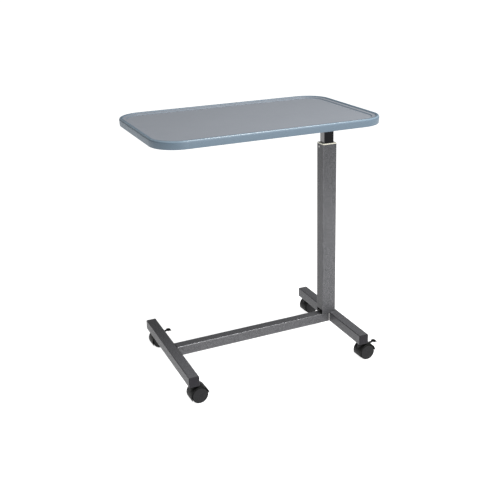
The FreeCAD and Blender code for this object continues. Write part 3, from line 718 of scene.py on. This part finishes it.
def wheel(caster, letter, material):
    """A profile turned about the axle: crowned tread, rounded shoulders, rim bead and dished hub."""
    body = f"{caster.name}_wheel_{letter}"
    side = -1 if letter == "a" else 1
    radius = caster.wheel_radius - WHEEL_LIFT
    profile = wheel_profile(radius / MM)
    rings = lathe_rings(profile, 72)
    points = (
        caster.hub
        + rings[..., :1] * caster.ahead
        + rings[..., 1:2] * caster.up
        + side * rings[..., 2:] * caster.axle
    )
    tread = (profile[:, 0] > radius - TREAD_EDGE).astype(float)
    shell = Shell().rings(points, tread=tread[:, None], radius=profile[:, :1])
    made = shell.piece(f"{body}_nylon", material, 45.0)
    return stand_in(made, body, "wheel_nylon", body)


def wheel_profile(r):
    """Wheel outline from the bore over the tread to the hub, for an outside radius r in millimetres.

    Each point is its radius and its distance out along the axle.
    """
    inner = WHEEL_INNER / MM
    outer = inner + WHEEL_WIDTH / MM
    back = [(3.05, inner), (8.0, inner), (r - 5.0, inner + 0.2), (r - 2.2, inner + 0.4)]
    tread = [(r - 0.6, inner + 1.4), (r, inner + 3.4), (r, outer - 4.6), (r - 0.35, outer - 2.6)]
    bead = [
        (r - 1.3, outer - 1.1), (r - 2.4, outer - 0.45), (r - 3.2, outer - 0.55), (r - 3.9, outer - 1.0),
        (r - 4.6, outer - 1.05),
    ]
    face = [
        (r - 7.0, outer - 0.75), (9.0, outer - 0.35), (6.2, outer - 0.25), (5.6, outer - 0.8),
        (5.0, outer - 0.85), (2.5, outer - 0.45), (0.15, outer - 0.4),
    ]
    return np.array(back + tread + bead + face) * MM


def pedal(caster, material):
    """Rocker between the wheels and a tread plate with three grip bars across it.

    Each is an outline in the caster's upright plane, an arc at each corner, given thickness along the axle.
    """
    body = f"{caster.name}_brake"
    hinge = np.array(JOINTS[f"{caster.name}_brake_pedal"]["pos_m"])
    pivot = float((hinge - caster.stem) @ caster.ahead) / MM
    height = hinge[2] / MM
    arm = fillet([
        (pivot - 3.4, height - 3.4), (pivot + 4.0, height - 3.4), (pivot + 21.0, height + 2.2),
        (pivot + 21.0, height + 5.6), (pivot + 6.0, height + 4.2), (pivot - 3.4, height + 3.4),
    ], 1.6)
    plate = fillet([
        (pivot + 19.0, height + 2.6), (pivot + 33.4, height + 2.1), (pivot + 33.8, height + 4.2),
        (pivot + 28.6, height + 5.9), (pivot + 19.0, height + 5.6),
    ], 0.9)
    shell = Shell()
    slab(caster, shell, arm * MM, 3.1 * MM, 0.5 * MM)
    slab(caster, shell, plate * MM, 9.4 * MM, 0.9 * MM)
    for x in (21.4, 24.4, 27.4):
        middle = pivot + x
        bar = fillet([
            (middle - 0.7, height + 5.2), (middle + 0.7, height + 5.2),
            (middle + 0.5, height + 6.5), (middle - 0.5, height + 6.5),
        ], 0.3)
        slab(caster, shell, bar * MM, 7.6 * MM, 0.3 * MM)
    made = shell.piece(f"{caster.name}_pedal_moulding", material, 35.0)
    return stand_in(made, body, "black_plastic", f"{caster.name}_brake_pedal")


# ------------------------------------------------------------------ base details

def end_cap(name, material):
    """A plug and a pillow plate over the tube's end: a rounded square carried towards the tip.

    Each level is how far the square is shrunk and how far it lies under the tip, in millimetres.
    """
    low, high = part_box(name)
    side = -1 if low.y < 0 else 1
    tip = low.y if side < 0 else high.y
    middle_x, middle_z = (low.x + high.x) / 2, (low.z + high.z) / 2
    half = (high.x - low.x) / 2
    plug = [(2.4, 11.9), (2.4, 3.0)]
    pillow = [(0.0, 3.0), (0.0, 2.0), (0.35, 1.3), (1.0, 0.75), (2.2, 0.35), (4.0, 0.1), (7.0, 0.0)]
    levels = np.array(plug + pillow) * MM
    rings = []
    for inset, depth in levels:
        flat = rounded_rectangle(half - inset, half - inset, max(3.4 * MM - inset, 1.0 * MM), 6, 4)
        y = np.full(len(flat), tip - side * depth)
        rings.append(np.column_stack([flat[:, 0] + middle_x, y, flat[:, 1] + middle_z]))
    shell = Shell().rings(np.array(rings))
    made = shell.piece(f"{name}_moulding", material, 50.0)
    return stand_in(made, "base", "black_plastic", name)


def weld_bead(start, end, first_way, second_way, leg, seed):
    """A fillet weld along a line: a quarter-round bead.

    Its size is leg (0.84 + 0.16 |sin| + a slow random drift), tapered at both ends of the run.
    """
    random = np.random.default_rng(seed)
    start, end = np.array(start, float), np.array(end, float)
    length = np.linalg.norm(end - start)
    share = np.linspace(0, 1, int(length / (0.7 * MM)) + 2)
    ripple = np.abs(np.sin(share * length / (2.6 * MM) * np.pi + random.uniform(0, 3)))
    drift = np.interp(share, np.linspace(0, 1, 7), random.uniform(-0.12, 0.12, 7))
    taper = np.clip(np.minimum(share, 1 - share) * length / (1.6 * MM), 0.25, 1)
    size = leg * (0.84 + 0.16 * ripple + drift) * taper
    angle = np.linspace(0, np.pi / 2, 8)
    out = np.stack([np.cos(angle), np.sin(angle)], 1)
    out = np.concatenate([[(-0.12, -0.12)], out * 0.92])
    first_way, second_way = np.array(first_way, float), np.array(second_way, float)
    centre = start + (end - start) * share[:, None]
    offset = out[None, :, :1] * first_way + out[None, :, 1:] * second_way
    return centre[:, None] + offset * size[:, None, None]


def welds(bright, painted):
    """Bright beads in the corners of crossbar and feet, and painted ones round the column's foot."""
    bar_low, bar_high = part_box("crossbar_tube")
    column_low, column_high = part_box("column_tube")
    foot_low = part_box("right_foot_tube")[0]
    shell = Shell()
    seed = 3
    for x, way in ((bar_low.x, 1), (bar_high.x, -1)):
        for y, face in ((bar_low.y, -1), (bar_high.y, 1)):
            start, end = (x, y, bar_low.z + WELD_INSET), (x, y, bar_high.z - WELD_INSET)
            shell.rings(weld_bead(start, end, (way, 0, 0), (0, face, 0), WELD_LEG, seed))
            seed += 1
    made = shell.piece("crossbar_weld_metal", bright, 60.0)
    stand_in(made, "base", "silver_vein_paint", "weld_beads")
    shell = Shell()
    foot = bar_high.z
    shell.rings(weld_bead(
        (column_high.x, column_low.y + 6 * MM, foot), (column_high.x, column_high.y - 6 * MM, foot),
        (1, 0, 0), (0, 0, 1), WELD_LEG, seed,
    ))
    for y, face in ((column_low.y, -1), (column_high.y, 1)):
        seed += 1
        start, end = (foot_low.x + WELD_INSET, y, foot), (column_high.x - 3 * MM, y, foot)
        shell.rings(weld_bead(start, end, (0, face, 0), (0, 0, 1), WELD_LEG, seed))
    made = shell.piece("column_weld_metal", painted, 60.0)
    return stand_in(made, "base", "silver_vein_paint", "weld_beads")


def fastener_places(node):
    """Centre and top of each separate solid in a node, found by grouping its points in plan."""
    points = np.array([vertex.co for vertex in frame["nodes"][node].data.vertices])
    found = []
    for point in points:
        for group in found:
            if np.hypot(*(group[0][:2] - point[:2])) < BOLT_SPACING:
                group.append(point)
                break
        else:
            found.append([point])
    places = []
    for group in found:
        group = np.array(group)
        low, high = group.min(0), group.max(0)
        places.append(((low + high) / 2, low[2], high[2]))
    return places


def bolts(node, body, material, head_radius, head_height, shank_radius, hexagonal):
    """Each bolt in a group, turned about its own axis: a flanged head, six-sided or round, on a shank."""
    shell = Shell()
    for middle, low, high in fastener_places(node):
        turns = 48
        angle = np.arange(turns) * 2 * np.pi / turns
        side = np.ones(turns)
        if hexagonal:
            side = np.cos(np.pi / 6) / np.cos((angle % (np.pi / 3)) - np.pi / 6)
        flange = head_height * 0.28
        profile = [
            (shank_radius, high - low, 0), (shank_radius, head_height, 0), (head_radius, head_height, 0),
            (head_radius, head_height - flange * 0.7, 0), (head_radius * 0.86, head_height - flange, 1),
            (head_radius * 0.86, 0.4 * MM, 1), (head_radius * 0.76, 0.0, 0), (head_radius * 0.4, 0.0, 0),
            (head_radius * 0.34, 0.25 * MM, 0), (head_radius * 0.02, 0.3 * MM, 0),
        ]
        rings = []
        for radius, height, shaped in profile:
            reach = radius * (side if shaped else 1.0)
            x, y = middle[0] + reach * np.cos(angle), middle[1] + reach * np.sin(angle)
            rings.append(np.column_stack([x, y, np.full(turns, low + height)]))
        shell.rings(np.array(rings))
    made = shell.piece(f"{node}_plated", material, 35.0)
    return stand_in(made, body, "zinc_steel", node)


def lever_grip(material):
    """A grip along the lever: a squarish round section with shallow finger grooves and a round nose.

    The section is y = w |cos a|^0.55 and z = h |sin a|^0.55, with the signs of cos a and sin a. Both w and h
    close over the nose as a quarter circle, and h dips by a tenth in each groove.
    """
    low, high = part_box("lever_grip")
    share = np.linspace(0, 1, 49)
    nose_start, grooves = 0.9, 4
    nose = np.sqrt(np.clip(1 - np.clip((share - nose_start) / 0.1, 0, 1) ** 2, 0.02, 1))
    grooved = (share > 0.06) * (share < nose_start)
    groove = 1 - 0.10 * (0.5 + 0.5 * np.cos(share * 2 * np.pi * grooves)) * grooved
    half_width = (high.y - low.y) / 2 * nose
    half_height = (high.z - low.z) / 2 * nose * groove
    angle = np.arange(36) * 2 * np.pi / 36
    squareness = 0.55
    c = np.sign(np.cos(angle)) * np.abs(np.cos(angle)) ** squareness
    s = np.sign(np.sin(angle)) * np.abs(np.sin(angle)) ** squareness
    rings = np.empty((len(share), len(angle), 3))
    rings[..., 0] = (low.x + (high.x - low.x) * share)[:, None]
    rings[..., 1] = (low.y + high.y) / 2 + half_width[:, None] * c
    rings[..., 2] = (low.z + high.z) / 2 + half_height[:, None] * s
    made = Shell().rings(rings).piece("lever_grip_moulding", material, 50.0)
    return stand_in(made, "lever", "black_plastic", "lever_grip")


# ------------------------------------------------------------------ assembly

def tube_paint(node, across):
    """Silver-vein paint for one straight tube; across names the two axes of its section."""
    low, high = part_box(node)
    index = {"X": 0, "Y": 1, "Z": 2}
    centre = [(low[index[a]] + high[index[a]]) / 2 for a in across]
    half = [(high[index[a]] - low[index[a]]) / 2 for a in across]
    ends = (low.z, high.z) if across == "XY" else None
    return silver_vein(f"silver_vein_{node}", half, centre, across, ends)


def dress(node, material):
    """Gives a CAD node its finish."""
    slots = frame["nodes"][node].data.materials
    slots.clear()
    slots.append(material)


def build():
    """Every piece with its finish."""
    black_paint = satin_black_paint()
    zinc = zinc_plate()
    ivory = ivory_nylon()
    cap_plastic = moulded_black("cap_plastic", (0.015, 0.014, 0.017), 900.0, 0.36)
    hood_plastic = moulded_black("hood_plastic", (0.006, 0.006, 0.006), 1100.0, 0.38)
    grip_plastic = moulded_black("grip_plastic", (0.012, 0.012, 0.012), 700.0, 0.48)
    nylon = wheel_nylon()
    plastic = tray_plastic()
    tray(plastic)
    tray_ribs(plastic)
    for end in ("front", "rear"):
        for hand in ("left", "right"):
            caster = Caster(f"{end}_{hand}")
            hood(caster, hood_plastic)
            wheel(caster, "a", nylon)
            wheel(caster, "b", nylon)
            if caster.braked:
                pedal(caster, hood_plastic)
                dress(f"{caster.name}_pedal_pin", zinc)
            end_cap(f"{caster.name}_end_cap", cap_plastic)
            for part in ("axle", "stem", "socket"):
                dress(f"{caster.name}_{part}", zinc)
    welds(weld_metal(), silver_vein("silver_vein_welds"))
    bolts("column_bolts", "base", zinc, 6.5 * MM, 5.0 * MM, 4.0 * MM, True)
    bolts("head_plate_bolts", "mast", zinc, 5.0 * MM, 3.5 * MM, 3.0 * MM, True)
    bolts("tray_screws", "mast", zinc, 4.0 * MM, 2.4 * MM, 2.0 * MM, False)
    lever_grip(grip_plastic)
    dress("column_tube", tube_paint("column_tube", "XY"))
    dress("crossbar_tube", tube_paint("crossbar_tube", "YZ"))
    dress("left_foot_tube", tube_paint("left_foot_tube", "XZ"))
    dress("right_foot_tube", tube_paint("right_foot_tube", "XZ"))
    dress("mast_tube", gloss_enamel())
    dress("gas_rod", chromed_rod())
    for node in ("column_bush", "mast_glide"):
        dress(node, ivory)
    hidden_steel = (
        "mast_head_plate", "front_support_rail", "rear_support_rail", "rail_tie_bar",
        "lever_bracket", "release_lever", "column_foot_plate", "gas_cylinder",
    )
    for node in hidden_steel:
        dress(node, black_paint)
    for node in ("bush_screw", "gas_gland", "rod_nut", "release_pin", "lever_pin"):
        dress(node, zinc)


# ------------------------------------------------------------------ stage, light and camera

def floor():
    """A wide pale sheet under the casters, glowing as on a light table."""
    half = FLOOR_HALF
    mesh = bpy.data.meshes.new("floor")
    corners = [(-half, -half, 0), (half, -half, 0), (half, half, 0), (-half, half, 0)]
    mesh.from_pydata(corners, [], [(0, 1, 2, 3)])
    shader = Shader("floor_paper")
    mottle = shader.noise(1.5, 3.0, 0.5)
    mesh.materials.append(shader.paint(
        base_color=shader.mix(mottle, (0.49, 0.49, 0.49), (0.51, 0.51, 0.51)),
        roughness=0.9,
        specular_ior_level=0.1,
        emission_color=(1.0, 1.0, 1.0),
        emission_strength=0.93,
    ))
    made = bpy.data.objects.new("floor", mesh)
    bpy.context.scene.collection.objects.link(made)


def area_light(name, place, aim, size, power):
    """A square soft box at a place, facing a point."""
    lamp = bpy.data.lights.new(name, "AREA")
    lamp.shape = "SQUARE"
    lamp.size = size
    lamp.energy = power
    made = bpy.data.objects.new(name, lamp)
    bpy.context.scene.collection.objects.link(made)
    place, aim = np.array(place, float), np.array(aim, float)
    back = (place - aim) / np.linalg.norm(place - aim)
    side = np.cross((0, 0, 1), back)
    side /= np.linalg.norm(side)
    rows = np.column_stack([side, np.cross(back, side), back])
    made.matrix_world = Matrix.Translation(place) @ Matrix(rows.tolist()).to_4x4()


def light():
    """A dim room, a broad soft box in front, and a smaller one high up for the edges."""
    world = bpy.data.worlds.new("studio")
    world.use_nodes = True
    background = world.node_tree.nodes["Background"]
    background.inputs["Color"].default_value = (1.0, 1.0, 1.0, 1.0)
    background.inputs["Strength"].default_value = 0.27
    bpy.context.scene.world = world
    area_light("front_box", (1.0, -4.2, 1.7), (0.1, 0.0, 0.5), 2.6, 112.0)
    area_light("top_box", (0.85, -0.95, 3.0), (0.0, 0.0, 0.5), 1.0, 76.0)
    bpy.context.scene.view_settings.view_transform = "Standard"


def camera():
    """Camera set by its place, its heading from +Y towards +X, its tilt down and its roll."""
    place = np.array([-0.974, -2.2705, 1.3483])
    heading, tilt, roll = np.radians([25.045, 19.723, -1.051])
    level = np.cos(tilt)
    ahead = np.array([np.sin(heading) * level, np.cos(heading) * level, -np.sin(tilt)])
    right = np.array([np.cos(heading), -np.sin(heading), 0.0])
    up = np.cross(right, ahead)
    rolled_right = np.cos(roll) * right + np.sin(roll) * up
    rolled_up = np.cos(roll) * up - np.sin(roll) * right
    lens = bpy.data.cameras.new("camera")
    lens.sensor_width = 36.0
    lens.lens = 55.717
    lens.shift_x = -0.0501
    lens.shift_y = -0.0394
    made = bpy.data.objects.new("camera", lens)
    bpy.context.scene.collection.objects.link(made)
    rows = np.column_stack([rolled_right, rolled_up, -ahead])
    made.matrix_world = Matrix.Translation(place) @ Matrix(rows.tolist()).to_4x4()
    bpy.context.scene.camera = made


build()
floor()
light()
camera()
